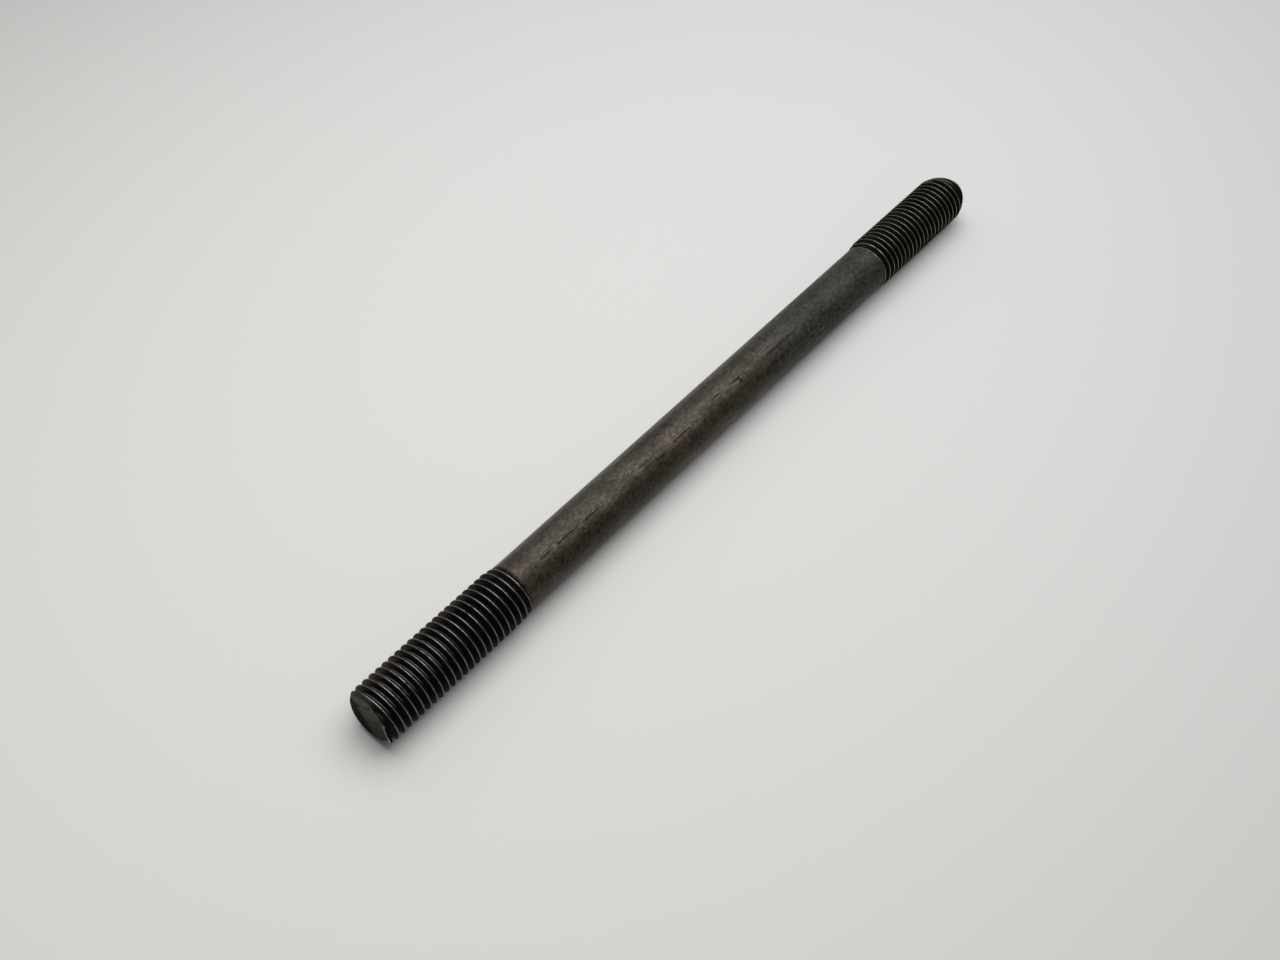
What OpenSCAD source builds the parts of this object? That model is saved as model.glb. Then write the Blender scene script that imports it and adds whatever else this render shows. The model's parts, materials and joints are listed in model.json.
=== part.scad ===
// Double-end stud: one steel bar with a rolled right-hand thread at each end and a plain shank.
// It lies along X on the plane Z = 0, with the middle of its length at X = 0.
// The end at -X was cut a little out of square, and the end at +X has a rounded point.
// Angles around an end run clockwise from the top, as seen by someone facing that end.

/* [Bar] */
// Length over both ends
overall_length = 311; // [280:1:340]
// Diameter of the plain shank
shank_d = 17.4; // [16.8:0.1:17.8]

/* [Threads] */
// Major diameter, over the crests
major_d = 18.95; // [18.7:0.05:19.1]
// Pitch: one turn moves a nut this far
pitch = 2.54; // [2.4:0.01:2.7]
// Crest width as a share of the pitch
crest_share = 0.125; // [0.08:0.005:0.2]
// Length of the thread at the cut end, with its run-out
cut_thread = 60.5; // [54:0.5:66]
// Length of the thread at the pointed end, with its run-out
point_thread = 61; // [54:0.5:66]
// Turns over which each thread fades into the shank
runout_turns = 2; // [1:0.5:4]
// Angle around the cut end at which its thread starts
cut_start = 357; // [0:1:359]
// Angle around the pointed end at which its thread starts
point_start = 92; // [0:1:359]

/* [Ends] */
// Diameter of the flat on the cut end
cut_face_d = 15.5; // [14.5:0.1:16.5]
// Angle by which the cut is out of square
cut_tilt = 4.5; // [0:0.5:8]
// Angle around the cut end of the side that slopes back
cut_side = 350; // [0:5:355]
// Diameter of the flat on the pointed end
point_face_d = 8; // [6:0.1:13]
// Length of the rounded point
point_length = 11.6; // [8:0.1:14]
// Angle by which the point leans over
point_tilt = 8.5; // [0:0.5:12]
// Angle around the pointed end of the side that it leans to
point_side = 288; // [0:4:356]

/* [Hidden] */

columns = 26;                        // columns of facets around the thread, one of them flat on Z = 0
flank_angle = 30;                    // half of the 60 degrees between flanks
thread_depth = 0.6134 * pitch;       // crest to root
crest_r = major_d / 2;
root_r = crest_r - thread_depth;
shank_r = shank_d / 2;
axis_z = crest_r * cos(180 / columns);
cut_face_r = cut_face_d / 2;
point_face_r = point_face_d / 2;
fade_r = shank_r - 0.05;             // radius that the thread fades to, just under the shank's skin
overlap = 1;                         // how far each thread's core runs on into the shank
chamfer_angle = 40;                  // between the cut end's chamfer and its axis
flare_angle = 15;                    // opening of the point's outline past its arc, more than it leans

// The rounded point is an arc that ends a little outside the crests, so that it meets them at an angle
point_top_r = crest_r + 0.15;
point_drop = point_top_r - point_face_r;
point_arc_r = (point_length^2 + point_drop^2) / (2 * point_drop);
point_steps = 8;

// Half widths of the flats along the thread: across a crest, and across the bottom of a groove
crest_half = crest_share * pitch / 2;
flank_w = thread_depth * tan(flank_angle);
root_half = pitch / 2 - crest_half - flank_w;
least_flank = 0.1;                   // flank width kept where a groove has faded away

// 1 where the thread has its full depth, falling to 0 at the end of its run-out
function depth_share(z, length) = max(0, min(1, (length - z) / (runout_turns * pitch)));

// Place of corner k along the pitch, from the middle of the crest, for a groove of that depth share.
// Its flanks keep their slope, so a shallower groove is a narrower one.
function corner_z(k, share) =
    k == 2 ? pitch / 2 - root_half :
    k == 3 ? pitch / 2 + root_half :
    (k == 0 ? -1 : 1) * (pitch / 2 - root_half - max(least_flank, share * flank_w));

// Corner k of turn i of the thread, in column j of that turn
function thread_point(i, j, k, length, start) =
    let (turn = (j + 0.5) / columns,
         z = pitch * (i + turn - start / 360),
         share = depth_share(z + corner_z(k, 1), length),
         r = fade_r + ((k < 2 ? crest_r : root_r) - fade_r) * share)
    [r * cos(360 * turn), r * sin(360 * turn), z + corner_z(k, share)];

// A bar along Z, threaded from below Z = 0 to past Z = length, its crest at angle start where Z = 0
module threaded_bar(length, start) {
    corners = 4;
    turns = ceil(length / pitch) + 4;
    points_up = corners * turns;                 // points in one column
    low = columns * points_up;                   // the axis points that close the two ends
    high = low + 1;
    last = columns - 1;

    // Point n of column j. Past the last column the helix is one turn up the first.
    function at(j, n) = j < columns ? j * points_up + n : n + corners;

    points = [
        for (j = [0:last], i = [0:turns - 1], k = [0:corners - 1])
            thread_point(i - 2, j, k, length, start),
        [0, 0, pitch * (-1.5 - start / 360)],
        [0, 0, pitch * (turns - 1.9 - start / 360)]
    ];
    // The helix's side, two facets to each step
    side = [
        for (j = [0:last], n = [0:points_up - 2 - (j < last ? 0 : corners)])
            each [[at(j, n), at(j, n + 1), at(j + 1, n)],
                  [at(j, n + 1), at(j + 1, n + 1), at(j + 1, n)]]
    ];
    // Each end is a fan about the axis, with the step of one pitch where the turn closes
    low_fan = [
        for (j = [0:last]) [low, at(j, 0), at(j + 1, 0)],
        for (n = [0:corners - 1]) [low, n + 1, n]
    ];
    top = points_up - 1;
    high_fan = [
        for (j = [0:last - 1]) [high, at(j + 1, top), at(j, top)],
        [high, at(columns, top - corners), at(last, top - corners)],
        for (n = [top - corners:top - 1]) [high, at(last, n), at(last, n + 1)]
    ];
    polyhedron(points, concat(side, low_fan, high_fan));
}

// Outline that trims the cut end: the flat and a chamfer around it
module cut_outline(length) {
    polygon([
        [0, 0],
        [cut_face_r, 0],
        [cut_face_r + length * tan(chamfer_angle), length],
        [0, length]
    ]);
}

// Outline that trims the pointed end: a flat, an arc out to past the crests, then a flare clear of them
module point_outline(length) {
    polygon([
        [0, 0],
        for (s = [0:point_steps])
            let (z = point_length * s / point_steps)
            [point_top_r - point_arc_r + sqrt(point_arc_r^2 - (point_length - z)^2), z],
        [point_top_r + length * tan(flare_angle), point_length + length],
        [0, point_length + length]
    ]);
}

// Leans an end's outline over about the point on the bar's axis at Z = hinge, so that its flat faces
// towards side, and moves it along until the flat's nearest edge is at Z = 0
module leaned(tilt, side, hinge, flat_r) {
    translate([0, 0, hinge * cos(tilt) + flat_r * sin(tilt)])
        rotate([0, 0, side])
            rotate([0, -tilt, 0])
                translate([0, 0, -hinge])
                    children();
}

// Puts an end's own Z axis along the bar from the end's face inwards, with its X axis up
module at_end(side) {
    translate([side * overall_length / 2, 0, axis_z])
        rotate([0, -90, side > 0 ? 0 : 180])
            children();
}

// Trims a thread at its far end, where the shank takes over
module to_shank(length) {
    cylinder(r = major_d, h = length + overlap, $fn = 24);
}

module cut_end() {
    at_end(-1) intersection() {
        threaded_bar(cut_thread, cut_start);
        to_shank(cut_thread);
        leaned(cut_tilt, cut_side, 0, cut_face_r)
            rotate_extrude($fn = 96) cut_outline(cut_thread + 4 * overlap);
    }
}

module pointed_end() {
    at_end(1) intersection() {
        threaded_bar(point_thread, point_start);
        to_shank(point_thread);
        leaned(point_tilt, point_side, point_length, point_face_r)
            rotate_extrude($fn = 96) point_outline(point_thread);
    }
}

module shank() {
    at_end(-1) translate([0, 0, cut_thread])
        cylinder(r = shank_r, h = overall_length - cut_thread - point_thread, $fn = 96);
}

module stud() {
    color([0.16, 0.16, 0.15]) {
        cut_end();
        shank();
        pointed_end();
    }
}

stud();
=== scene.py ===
"""A double-end stud on a pale table: one bar of blackened steel with a rolled thread at each end."""

import json
import math

import bmesh
import bpy
from mathutils import Matrix, Vector


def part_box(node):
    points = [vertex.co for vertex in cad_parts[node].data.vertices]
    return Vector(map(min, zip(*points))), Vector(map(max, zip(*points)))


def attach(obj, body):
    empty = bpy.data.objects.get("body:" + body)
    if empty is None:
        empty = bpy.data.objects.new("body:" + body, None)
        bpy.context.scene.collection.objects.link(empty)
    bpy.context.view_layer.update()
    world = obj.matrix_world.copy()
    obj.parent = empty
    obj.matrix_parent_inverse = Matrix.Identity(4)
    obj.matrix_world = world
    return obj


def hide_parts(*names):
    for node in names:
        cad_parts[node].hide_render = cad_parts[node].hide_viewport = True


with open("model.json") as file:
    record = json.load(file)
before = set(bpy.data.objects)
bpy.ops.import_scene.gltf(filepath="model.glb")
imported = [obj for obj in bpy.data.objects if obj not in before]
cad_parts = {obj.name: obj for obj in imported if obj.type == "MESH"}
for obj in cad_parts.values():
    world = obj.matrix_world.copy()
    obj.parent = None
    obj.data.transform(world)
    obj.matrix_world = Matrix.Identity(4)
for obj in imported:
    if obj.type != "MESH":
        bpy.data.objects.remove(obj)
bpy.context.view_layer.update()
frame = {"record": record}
scene = bpy.context.scene
scene.view_settings.view_transform = "Standard"

# The bar.
# The stud is one length of round steel, so it is one mesh. Its length, its ends and the length of its
# threads come from the frame, and the rest of its form is that of a 3/4-10 thread.
MM = 0.001
low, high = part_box("stud")
cut_x, point_x = low.x, high.x
mounts = {mount["name"]: mount for mount in frame["record"]["mounts"]}
crest_r = mounts["cut_end_thread"]["dims"]["r_mm"] * MM
axis = Vector((0, 0, mounts["cut_face"]["pos_m"][2]))
shank_r = 8.7 * MM

# Three values at each vertex say what the steel has been through: rubbed bright (with a painted highlight
# in the roots of the first grooves), rolled to a thread, and sawn or turned to an end.
bar = bmesh.new()
worn_and_highlight, threaded, turned = (bar.verts.layers.float.new(name) for name in ("worn_and_highlight", "threaded", "turned"))


def from_axis(co):
    """Distance from the bar's axis."""
    return math.hypot(co.y - axis.y, co.z - axis.z)


def set_radius(vert, radius):
    """Moves a vertex square to the bar's axis until it is at this radius."""
    old = from_axis(vert.co)
    for i in (1, 2):
        vert.co[i] = axis[i] + (vert.co[i] - axis[i]) * radius / old


def share(*values):
    """The least of these values, kept between 0 and 1."""
    return max(0.0, min(1.0, *values))


# The threads.
# Each end is pressed between rolling dies, so the crests are thrown up proud of the shank, the roots are
# round, and crest and root run together over the last two turns.
cut_thread = mounts["cut_end_thread"]["dims"]["length_mm"] * MM
point_thread = mounts["rounded_end_thread"]["dims"]["length_mm"] * MM
pitch = 2.54 * MM
crest_w = 0.125 * pitch
crest_corner = 0.03 * MM
flank_slope = math.tan(math.radians(30))
root_round = 0.144 * pitch
root_r = crest_r - 0.6134 * pitch
runout = 2 * pitch
columns = 96
weld = 0.002 * MM
hair = 0.01 * MM


def thread_section():
    """(distance along the bar, radius) of one thread, from the middle of a crest to the next."""
    edge = crest_w / 2
    half = [(0, crest_r), (edge - crest_corner, crest_r)]
    half.append((edge + crest_corner * flank_slope, crest_r - crest_corner))
    for degrees in (60, 40, 20, 0):
        turn = math.radians(degrees)
        half.append((pitch / 2 - root_round * math.sin(turn), root_r + root_round * (1 - math.cos(turn))))
    return half + [(pitch - x, r) for x, r in reversed(half[:-1])]


def touching(verts):
    """These vertices, with the edges and faces that touch them."""
    edges = dict.fromkeys(e for v in verts for e in v.link_edges)
    faces = dict.fromkeys(f for v in verts for f in v.link_faces)
    return list(verts) + list(edges) + list(faces)


def roll_thread(start_degrees, length):
    """Screws the section round the bar at its cut end, turn after turn, and returns the vertices."""
    start_x = cut_x - pitch * (2 + start_degrees / 360)
    before = set(bar.verts)
    verts = [bar.verts.new(axis + Vector((start_x + x, 0, r))) for x, r in thread_section()]
    for v in verts:
        v[worn_and_highlight] = from_axis(v.co) > crest_r - hair
    edges = [bar.edges.new(pair) for pair in zip(verts, verts[1:])]
    bmesh.ops.spin(
        bar,
        geom=verts + edges,
        cent=axis,
        axis=(1, 0, 0),
        dvec=(pitch / columns, 0, 0),
        angle=2 * math.pi,
        steps=columns,
    )
    turn = touching([v for v in bar.verts if v not in before])
    for i in range(1, math.ceil(length / pitch) + 3):
        copy = bmesh.ops.duplicate(bar, geom=turn)["geom"]
        moved = [v for v in copy if isinstance(v, bmesh.types.BMVert)]
        bmesh.ops.translate(bar, verts=moved, vec=(i * pitch, 0, 0))
    made = [v for v in bar.verts if v not in before]
    bmesh.ops.remove_doubles(bar, verts=made, dist=weld)
    made = [v for v in bar.verts if v not in before]
    # Over the run-out the crest sinks and the groove rises, until both are level with the shank.
    for v in made:
        full = share((length - (v.co.x - cut_x)) / runout)
        crest = shank_r + (crest_r - shank_r) * full
        groove = from_axis(v.co) + (shank_r - root_r) * (1 - full)
        set_radius(v, min(crest, groove))
        v[threaded] = full
        v[worn_and_highlight] *= min(1.0, 4 * full)
    return made


# The rounded end.
# This end is turned to a rounded point, a little out of true: an arc from the crests in to a small flat.
# The tool rubbed its last grooves shut on the upper side.
point_centre = Vector(mounts["rounded_end_face"]["pos_m"])
point_normal = Vector(mounts["rounded_end_face"]["axis"])
point_start = 92
point_face_r = 4 * MM
point_length = 11.6 * MM
point_top_r = crest_r + 0.15 * MM
point_drop = point_top_r - point_face_r
point_arc_r = (point_length**2 + point_drop**2) / (2 * point_drop)
point_flare = math.tan(math.radians(15))
patch_length = 11 * MM
end_length = 20 * MM


def degrees_round(co):
    """Angle round the bar, from the top towards +Y."""
    return math.degrees(math.atan2(co.y, co.z - axis.z))


def build_up(verts, centre, outward, limit, sides, reach, crests_too):
    """Closes the grooves out to an end's outline, between two angles and as deep in as reach tells."""
    first, last = sides
    fade_degrees = 15
    fade_depth = 0.3 * MM
    for v in verts:
        depth = -(v.co - centre).dot(outward)
        degrees = degrees_round(v.co)
        full = share((degrees - first) / fade_degrees, (last - degrees) / fade_degrees)
        full = share(full, (reach(degrees) - depth) / fade_depth)
        rise = min(limit(depth, degrees), crest_r) - from_axis(v.co)
        if full > 0 and depth > -1 * MM and rise > (-hair if crests_too else hair):
            set_radius(v, from_axis(v.co) + rise * full)
            v[turned] = full
            v[worn_and_highlight] = 0


def turn_down(verts, centre, outward, limit):
    """Brings in what stands outside an end's own outline, which is drawn about its leaning flat."""

    def outside(co):
        off = co - centre
        depth = -off.dot(outward)
        return (off + outward * depth).length > limit(depth, degrees_round(co))

    for v in verts:
        if (v.co - centre).dot(outward) < -end_length or not outside(v.co):
            continue
        # Halves the doubt about where the outline lies, until it is far less than a hair.
        inner, outer = 0.5 * MM, from_axis(v.co)
        for _ in range(14):
            middle = (inner + outer) / 2
            set_radius(v, middle)
            if outside(v.co):
                outer = middle
            else:
                inner = middle
        set_radius(v, inner)
        v[turned] = share((degrees_round(v.co) + 30) / 30)
        v[worn_and_highlight] = 0


def saw(verts, at, outward, through=True):
    """Saws along a plane, right through or only a ring. Returns the edges of the cut."""
    cut = bmesh.ops.bisect_plane(
        bar,
        geom=touching(verts),
        plane_co=at,
        plane_no=outward,
        clear_outer=through,
    )
    return [e for e in cut["geom_cut"] if isinstance(e, bmesh.types.BMEdge)]


def point_limit(depth, degrees):
    """Radius of the point, the same all round, at a depth from its flat."""
    along = min(point_length - depth, 0.99 * point_arc_r)
    if along < 0:
        return point_top_r - along * point_flare
    return point_top_r - point_arc_r + math.sqrt(point_arc_r**2 - along**2)


def patch_reach(degrees):
    """Depth to which the grooves are rubbed shut."""
    return min(patch_length, (degrees + 16) / 7 * MM)


# The thread is rolled at the cut end and then turned end for end.
point_verts = roll_thread(point_start, point_thread)
bmesh.ops.rotate(bar, verts=point_verts, cent=(0, 0, 0), matrix=Matrix.Rotation(math.pi, 3, "Z"))
build_up(point_verts, point_centre, point_normal, point_limit, (-24, 100), patch_reach, True)
turn_down(point_verts, point_centre, point_normal, point_limit)
point_rim = saw(point_verts, point_centre, point_normal)
point_ring = saw(list(bar.verts), (point_x - point_thread, 0, 0), (-1, 0, 0))
point_verts = set(bar.verts)

# The cut end.
# The bar was sawn off a few degrees out of square. The saw left an uneven rim, dragged out to a point low
# on one side and pinched in beside it, and it smeared the first groove shut where it broke in.
cut_centre = Vector(mounts["cut_face"]["pos_m"])
cut_normal = Vector(mounts["cut_face"]["axis"])
cut_start = 357
rim_w = 0.45 * MM
smear = 1.4 * MM
root_highlight_to = -120 * MM
# Angle from the top, towards +Y, and radius of the rim there in millimetres.
rim_places = [(-180, 6.95), (-163, 7.0), (-143, 7.5), (-120, 7.8), (-109, 8.9), (-97, 7.5), (-83, 7.0)]
rim_places += [(-66, 6.8), (-50, 7.1), (-40, 7.5), (-30, 8.2), (-20, 8.6), (-10, 8.9), (0, 9.0)]
rim_places += [(15, 8.8), (30, 8.6), (45, 8.45), (62, 8.3), (75, 7.9), (90, 7.65), (134, 7.5)]
rim_places += [(151, 7.35), (180, 6.95)]


def rim_radius(degrees):
    """Radius of the rim at this angle, in a straight line from one place to the next."""
    for (a, r_a), (b, r_b) in zip(rim_places, rim_places[1:]):
        if degrees <= b:
            return MM * (r_a + (r_b - r_a) * (degrees - a) / (b - a))


def cut_limit(depth, degrees):
    """Radius of the chamfer behind the rim, which is blunter on the low side."""
    low_side = share((65 - abs(degrees + 75)) / 20)
    return rim_radius(degrees) + depth * math.tan(math.radians(40 + 15 * low_side))


cut_verts = roll_thread(cut_start, cut_thread)
# The bottoms of the first grooves are made bright on the upper side: a painted highlight in the round
# roots.
for v in cut_verts:
    if from_axis(v.co) < root_r + 3 * hair:
        degrees = degrees_round(v.co)
        v[worn_and_highlight] = 0.55 * share((root_highlight_to - v.co.x) / (12 * MM), (degrees + 52) / 14, (34 - degrees) / 14)
build_up(cut_verts, cut_centre, cut_normal, cut_limit, (-20, 82), lambda degrees: smear, False)
turn_down(cut_verts, cut_centre, cut_normal, cut_limit)
saw(cut_verts, cut_centre - cut_normal * rim_w, cut_normal, through=False)
cut_verts = [v for v in bar.verts if v not in point_verts]
cut_rim = saw(cut_verts, cut_centre, cut_normal)
cut_verts = [v for v in bar.verts if v not in point_verts]
# The chamfer is darker than the flat, and nothing close to the rim is rubbed. The last of the metal to part
# is bare, along the low side of the rim.
for v in cut_verts:
    if (v.co - cut_centre).dot(cut_normal) > -rim_w - hair:
        v[worn_and_highlight] = 0
    v[turned] *= 0.35
for v in {v for edge in cut_rim for v in edge.verts}:
    degrees = degrees_round(v.co)
    v[worn_and_highlight] = 0.2 + 1.8 * share((degrees + 128) / 6, (-56 - degrees) / 20)
cut_ring = saw(cut_verts, (cut_x + cut_thread, 0, 0), (1, 0, 0))

# The shank.
# The plain bar between the two threads is what the dies left as it was, so it keeps the thickness that
# the whole bar had before, a little less than over the crests.
bmesh.ops.bridge_loops(bar, edges=cut_ring + point_ring)


# The flats.
# Each end is closed with its flat. The rings just inside the rim keep its edge crisp, and from there in the
# steel is sawn or turned.
def close_end(rim, centre, rings):
    """Closes an end with rings drawn in towards its centre, each a share of the rim's size, and a flat."""
    edges = rim
    for size, before in zip(rings, [1] + rings):
        made = bmesh.ops.extrude_edge_only(bar, edges=edges)["geom"]
        inner = [v for v in made if isinstance(v, bmesh.types.BMVert)]
        edges = [e for e in made if isinstance(e, bmesh.types.BMEdge)]
        bmesh.ops.scale(bar, verts=inner, vec=(size / before,) * 3, space=Matrix.Translation(-centre))
        for v in inner:
            v[turned] = 1
            v[worn_and_highlight] = 0
    bmesh.ops.edgeloop_fill(bar, edges=edges)


close_end(cut_rim, cut_centre, [0.95, 0.9, 0.6])
close_end(point_rim, point_centre, [0.95, 0.7])
bmesh.ops.recalc_face_normals(bar, faces=bar.faces)

mesh = bpy.data.meshes.new("stud_steel")
bar.to_mesh(mesh)
bar.free()
mesh.shade_smooth()
stud = bpy.data.objects.new("stud_steel", mesh)
scene.collection.objects.link(stud)


# The finish.
# The stud was left black and oiled: mill scale on the shank and oxide on the threads. Nuts have rubbed the
# crests bright, and there is some rust, with cracks and scuffs along the shank.
def put(tree, kind, *values, **settings):
    """Adds a node. Values fill its inputs in turn: a socket is linked, and None is left alone."""
    node = tree.nodes.new("ShaderNode" + kind)
    for name, value in settings.items():
        setattr(node, name, value)
    for socket, value in zip(node.inputs, values):
        if isinstance(value, bpy.types.NodeSocket):
            tree.links.new(value, socket)
        elif value is not None:
            socket.default_value = value
    return node.outputs[0]


def blend(tree, factor, under, over):
    """The colour under, with the colour over laid on it where factor is 1."""
    node = tree.nodes.new("ShaderNodeMix")
    node.data_type = "RGBA"
    for index, value in ((0, factor), (6, under), (7, over)):
        if isinstance(value, bpy.types.NodeSocket):
            tree.links.new(value, node.inputs[index])
        else:
            node.inputs[index].default_value = value
    return node.outputs[2]


def ramp(tree, value, low, high):
    """A soft step from 0 to 1 as the value goes from low to high."""
    return put(tree, "MapRange", value, low, high, 0, 1, interpolation_type="SMOOTHSTEP")


steel = bpy.data.materials.new("black steel")
steel.use_nodes = True
tree = steel.node_tree
shader = tree.nodes["Principled BSDF"]
place = tree.nodes.new("ShaderNodeTexCoord").outputs["Object"]
split = tree.nodes.new("ShaderNodeSeparateXYZ")
tree.links.new(place, split.inputs[0])
along = split.outputs["X"]
across = split.outputs["Y"]
above = put(tree, "Math", split.outputs["Z"], axis.z, operation="SUBTRACT")
turn = put(tree, "Math", across, above, operation="ARCTAN2")
around = put(tree, "Math", turn, shank_r, operation="MULTIPLY")
side_flat = put(tree, "CombineXYZ", along, around, 0)
end_flat = put(tree, "CombineXYZ", across, above, 0)


def noise_at(scale, detail, roughness, stretch):
    """Noise on the bar, with its features drawn out along it by stretch."""
    drawn = put(tree, "VectorMath", place, (1 / stretch, 1, 1), operation="MULTIPLY")
    return put(tree, "TexNoise", drawn, None, scale, detail, roughness)


def attribute(name):
    """One of the values kept at the vertices."""
    node = tree.nodes.new("ShaderNodeAttribute")
    node.attribute_name = name
    return node.outputs["Fac"]


def times(a, b):
    """Two values multiplied."""
    return put(tree, "Math", a, b, operation="MULTIPLY")


def plus(a, b):
    """Two values added."""
    return put(tree, "Math", a, b, operation="ADD")


def minus(a, b):
    """The first value less the second."""
    return put(tree, "Math", a, b, operation="SUBTRACT")


def spread(value, low, high, at_low, at_high):
    """An even change from at_low to at_high as the value goes from low to high."""
    return put(tree, "MapRange", value, low, high, at_low, at_high)


def level(colour, value):
    """The colour made brighter or darker by value."""
    node = tree.nodes.new("ShaderNodeHueSaturation")
    tree.links.new(value, node.inputs["Value"])
    tree.links.new(colour, node.inputs["Color"])
    return node.outputs["Color"]


blotch = noise_at(110, 2, 0.5, 2.5)
tint = noise_at(170, 2, 0.5, 2)
grain = noise_at(760, 4, 0.75, 1.3)
swing = minus(grain, 0.5)
streak = noise_at(420, 2, 0.6, 5)
crumbs = ramp(tree, noise_at(1300, 2, 0.6, 2), 0.42, 0.62)
far = ramp(tree, along, 0.01, 0.06)


def patch(flat, centre, size, ragged):
    """An oval on a flat drawing of the surface, with an edge made ragged by the grain."""
    off = put(tree, "VectorMath", flat, centre, operation="SUBTRACT")
    off = put(tree, "VectorMath", off, size, operation="DIVIDE")
    from_middle = tree.nodes.new("ShaderNodeVectorMath")
    from_middle.operation = "LENGTH"
    tree.links.new(off, from_middle.inputs[0])
    edge = plus(from_middle.outputs["Value"], times(swing, ragged))
    return ramp(tree, edge, 1.15, 0.6)


def mark(x, degrees, length, height, ragged=1.5):
    """A mark with its middle at x along the bar and degrees round it from the top, in millimetres."""
    middle = (x * MM, math.radians(degrees) * shank_r, 0)
    return patch(side_flat, middle, (length / 2 * MM, height / 2 * MM, 1), ragged)


def chip(y, z, width, height):
    """A mark on an end, placed from the bar's axis in millimetres."""
    return patch(end_flat, (y * MM, z * MM, 0), (width / 2 * MM, height / 2 * MM, 1), 1.5)


def any_of(masks):
    """Where at least one of the masks is."""
    total = masks[0]
    for mask in masks[1:]:
        total = put(tree, "Math", total, mask, operation="MAXIMUM")
    return total


# Mill scale on the shank, browner towards the cut end and greyer towards the point.
brown_scale = (0.023, 0.0175, 0.010, 1)
olive_scale = (0.0185, 0.0165, 0.010, 1)
red_scale = (0.030, 0.0165, 0.010, 1)
grey_scale = (0.028, 0.028, 0.022, 1)
colour = blend(tree, ramp(tree, blotch, 0.42, 0.58), brown_scale, olive_scale)
colour = blend(tree, ramp(tree, tint, 0.55, 0.7), colour, red_scale)
colour = blend(tree, far, colour, grey_scale)
colour = level(colour, spread(grain, 0.35, 0.65, 0.2, 1.8))

# Scuffs, where the scale is rubbed thin, and rust.
thin_scale = (0.045, 0.036, 0.028, 1)
crumbled_scale = (0.125, 0.112, 0.098, 1)
rust = (0.038, 0.016, 0.011, 1)
scuff = any_of([
    mark(-77, -20.5, 16, 3.4),
    mark(-60.5, -21, 10, 1.8),
    mark(-43.3, -13.2, 6, 1.8),
    mark(-14.8, -13.6, 20, 2.4),
    mark(-36.2, -22, 9, 3),
    mark(18.4, -19.4, 2.2, 0.9),
    mark(-29.5, -19, 5, 0.6),
])
rusty = any_of([
    mark(43.5, -24.4, 6, 1.6),
    mark(28, -24.4, 6, 1.4),
    mark(-5.1, -85, 6, 5),
    mark(-88.6, -58, 3, 2),
    mark(-92.5, -6, 8, 6),
])
colour = blend(tree, times(scuff, 0.35), colour, thin_scale)
colour = blend(tree, times(times(scuff, crumbs), 0.6), colour, crumbled_scale)
colour = blend(tree, times(rusty, 0.5), colour, rust)

# The threads are near black in their grooves, with rust stains near the cut end and oil on the far one.
dry_oxide = (0.005, 0.0048, 0.0042, 1)
oily_oxide = (0.0055, 0.0052, 0.0026, 1)
rust_stain = (0.022, 0.010, 0.007, 1)
brown_oil = (0.021, 0.015, 0.008, 1)
on_thread = ramp(tree, attribute("threaded"), 0.02, 0.25)
oxide = level(blend(tree, far, dry_oxide, oily_oxide), spread(grain, 0.3, 0.7, 0.3, 2))
colour = blend(tree, on_thread, colour, oxide)
stained = any_of([
    mark(-147.5, 38, 4, 9),
    mark(-145.5, 32, 4, 10),
    mark(-140.5, 34, 5, 8),
    mark(-119.5, 32, 4, 6),
    mark(-99, 28, 4, 5),
])
colour = blend(tree, times(stained, 0.8), colour, rust_stain)
colour = blend(tree, times(mark(108, 22, 34, 7), 0.7), colour, brown_oil)

# The ends keep a greenish scale. The cut flat is near black past a straight line across its low +Y side,
# and it has a few dark chips.
green_scale = (0.080, 0.078, 0.058, 1)
violet_scale = (0.038, 0.034, 0.040, 1)
turned_scale = (0.090, 0.096, 0.089, 1)
end_black = (0.006, 0.0055, 0.006, 1)
end_colour = blend(tree, spread(above, 5 * MM, -6 * MM, 0, 1), green_scale, violet_scale)
end_colour = blend(tree, far, end_colour, turned_scale)
end_colour = level(end_colour, spread(grain, 0.3, 0.7, 0.6, 1.4))
past_dark_line = plus(minus(times(across, 1.27), above), times(grain, 2 * MM))
end_colour = blend(tree, ramp(tree, past_dark_line, 4.4 * MM, 5.4 * MM), end_colour, end_black)
chips = any_of([chip(4.2, 3.5, 2.6, 1.6), chip(0.3, 5.5, 1.9, 1.2), chip(-1.0, 6.6, 1.5, 1.0)])
end_colour = blend(tree, times(times(chips, minus(1, far)), 0.9), end_colour, end_black)
colour = blend(tree, attribute("turned"), colour, end_colour)

# The crests are rubbed bright, and the low side of the cut rim is bare steel. The same blend lays a painted
# highlight in the roots of the first grooves.
rubbed_oxide = (0.18, 0.18, 0.176, 1)
rubbed_oily_oxide = (0.21, 0.21, 0.19, 1)
bare_steel = (0.45, 0.44, 0.42, 1)
bright = times(attribute("worn_and_highlight"), ramp(tree, streak, 0.2, 0.5))
crest_colour = blend(tree, far, rubbed_oxide, rubbed_oily_oxide)
crest_colour = blend(tree, ramp(tree, attribute("worn_and_highlight"), 1, 1.7), crest_colour, bare_steel)
colour = blend(tree, bright, colour, crest_colour)

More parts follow.
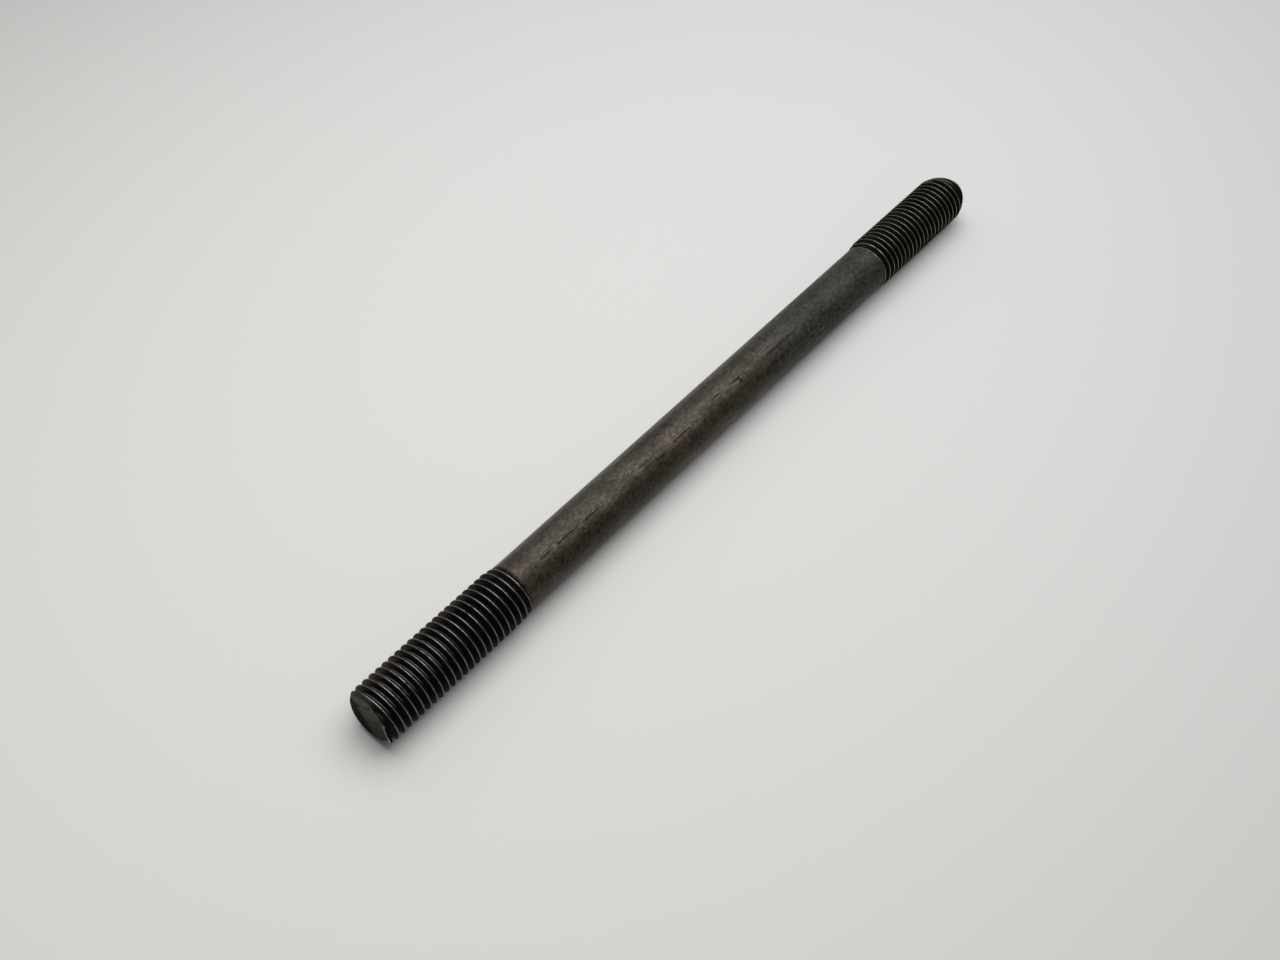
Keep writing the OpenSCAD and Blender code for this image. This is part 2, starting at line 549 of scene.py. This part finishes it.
# Cracks and pits, near black partly from painted shade under their lips, and painted highlights on the
# lit lips beside them.
lip_highlight_colour = (0.16, 0.14, 0.12, 1)
seam_black = (0.008, 0.007, 0.0055, 1)
crack_and_shade_black = (0.003, 0.0025, 0.002, 1)
crack = any_of([
    mark(-74.5, -23.2, 11, 0.5, 1.3),
    mark(-83, -23, 6, 0.4, 1.6),
    mark(-63, -24.5, 8.8, 0.42, 1.4),
    mark(-36.2, -21, 7, 0.36, 1.5),
    mark(-36.2, -31, 6, 0.4, 1.5),
    mark(-29.5, -33.5, 7, 0.4, 1.2),
    mark(-18.7, -28.1, 8.8, 0.38, 1.2),
    mark(-4.3, -58.3, 1.4, 1.1),
    mark(1.5, -17.2, 3.6, 0.5),
    mark(11.8, -19.2, 6.6, 0.5),
    mark(13.2, -29, 1, 1.8),
    mark(50, -64.7, 1.8, 1.3),
])
# Painted highlights on the lips beside the cracks that face the light.
lip_highlight = any_of([
    mark(1.5, -20.2, 3.2, 0.5),
    mark(9.5, -21, 3, 0.5),
    mark(14.5, -21, 1.5, 0.5),
    mark(18.4, -19.4, 2.2, 0.8),
    mark(50, -61, 2, 0.6),
    mark(56, -70, 2.4, 0.6),
    mark(-80, -28.5, 2, 0.5),
])
seam = mark(36, -25.4, 24, 1.4)
colour = blend(tree, times(lip_highlight, 0.7), colour, lip_highlight_colour)
colour = blend(tree, times(seam, 0.6), colour, seam_black)
# The cracks' near black is partly painted shade under their lips.
colour = blend(tree, times(crack, 0.85), colour, crack_and_shade_black)
tree.links.new(colour, shader.inputs["Base Color"])

# Oil gives the shank a warm gloss on top. It is duller low down, on the threads and on the ends.
warm_gloss = (1, 0.89, 0.78, 1)
far_gloss = (1, 0.99, 0.88, 1)
tree.links.new(blend(tree, far, warm_gloss, far_gloss), shader.inputs["Specular Tint"])
rough = plus(spread(far, 0, 1, 0.36, 0.48), times(swing, 0.5))
tree.links.new(spread(bright, 0, 1, rough, 0.3), shader.inputs["Roughness"])
low_down = ramp(tree, put(tree, "Math", turn, operation="ABSOLUTE"), math.radians(35), math.radians(62))
gloss = times(spread(far, 0, 1, 0.55, 0.3), spread(low_down, 0, 1, 1, 0.35))
gloss = times(gloss, spread(on_thread, 0, 1, 1, 0.1))
gloss = times(gloss, spread(tint, 0.35, 0.65, 0.7, 1.3))
gloss = times(gloss, spread(attribute("turned"), 0, 1, 1, 0.3))
gloss = times(gloss, spread(crumbs, 0, 1, 0.75, 1.35))
gloss = times(gloss, spread(crack, 0, 1, 1, 0.3))
gloss = times(gloss, spread(seam, 0, 1, 1, 0.5))
tree.links.new(gloss, shader.inputs["Specular IOR Level"])
tree.links.new(bright, shader.inputs["Metallic"])
relief = plus(grain, times(crack, -1.5))
relief = plus(relief, times(times(scuff, crumbs), 0.8))
bump = tree.nodes.new("ShaderNodeBump")
bump.inputs["Strength"].default_value = 0.6
bump.inputs["Distance"].default_value = 0.35 * MM
tree.links.new(relief, bump.inputs["Height"])
tree.links.new(bump.outputs["Normal"], shader.inputs["Normal"])
mesh.materials.append(steel)

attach(stud, "root")
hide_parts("stud")

# The table.
# The stud lies on a large flat sheet, matt and a little off white. A painted pool of light makes it palest
# behind the cut end and falling off all round, and the sheet is a little warmer towards that end.
bpy.ops.mesh.primitive_plane_add(size=6, location=(0, 0, 0))
table = bpy.context.object
table.name = "table"
warm_white = (0.822, 0.814, 0.786, 1)
cool_white = (0.822, 0.820, 0.808, 1)
black = (0, 0, 0, 1)
light_pool_centre = (-0.18, 0.081, 0)
light_pool_falloff = (0.76, 1.42, 1)
sheet = bpy.data.materials.new("white table")
sheet.use_nodes = True
tree = sheet.node_tree
shader = tree.nodes["Principled BSDF"]
shader.inputs["Roughness"].default_value = 0.6
place = tree.nodes.new("ShaderNodeTexCoord").outputs["Object"]
split = tree.nodes.new("ShaderNodeSeparateXYZ")
tree.links.new(place, split.inputs[0])
tone = blend(tree, spread(split.outputs["X"], -0.2, 0.2, 0, 1), warm_white, cool_white)
# A painted pool of light: the sheet darkens towards black away from its centre, at most by half.
from_spot = put(tree, "VectorMath", place, light_pool_centre, operation="SUBTRACT")
from_spot = put(tree, "VectorMath", from_spot, light_pool_falloff, operation="MULTIPLY")
square = tree.nodes.new("ShaderNodeVectorMath")
square.operation = "DOT_PRODUCT"
tree.links.new(from_spot, square.inputs[0])
tree.links.new(from_spot, square.inputs[1])
shade = put(tree, "Math", square.outputs["Value"], 0.5, operation="MINIMUM")
tree.links.new(blend(tree, shade, tone, black), shader.inputs["Base Color"])
table.data.materials.append(sheet)

# The light.
# A white room, a broad soft lamp overhead and a weaker one behind the stud, like a ceiling and a window.
world = bpy.data.worlds.new("room")
scene.world = world
world.use_nodes = True
world.node_tree.nodes["Background"].inputs["Color"].default_value = (1, 1, 1, 1)
world.node_tree.nodes["Background"].inputs["Strength"].default_value = 0.18


def area_lamp(name, energy, size, location):
    """A soft square lamp that faces the middle of the bar."""
    data = bpy.data.lights.new(name, "AREA")
    data.energy = energy
    data.size = size
    lamp = bpy.data.objects.new(name, data)
    lamp.location = location
    lamp.rotation_euler = (-lamp.location).to_track_quat("-Z", "Y").to_euler()
    scene.collection.objects.link(lamp)


area_lamp("ceiling", 10.2, 1.15, (0.25, -0.01, 1.0))
area_lamp("window", 2.0, 0.9, (0.35, 1.0, 0.9))

# The camera.
# It looks down on the stud from above the cut end, with the rounded end furthest away.
camera_data = bpy.data.cameras.new("camera")
camera_data.sensor_width = 36
camera_data.lens = 39.371
camera_data.shift_x = -0.5 / 1280
camera_data.shift_y = 0.5 / 1280
camera = bpy.data.objects.new("camera", camera_data)
camera.location = (-261.20 * MM, -189.45 * MM, 357.42 * MM)
camera.rotation_euler = (math.radians(39.980), 0, math.radians(-50.093))
scene.collection.objects.link(camera)
scene.camera = camera
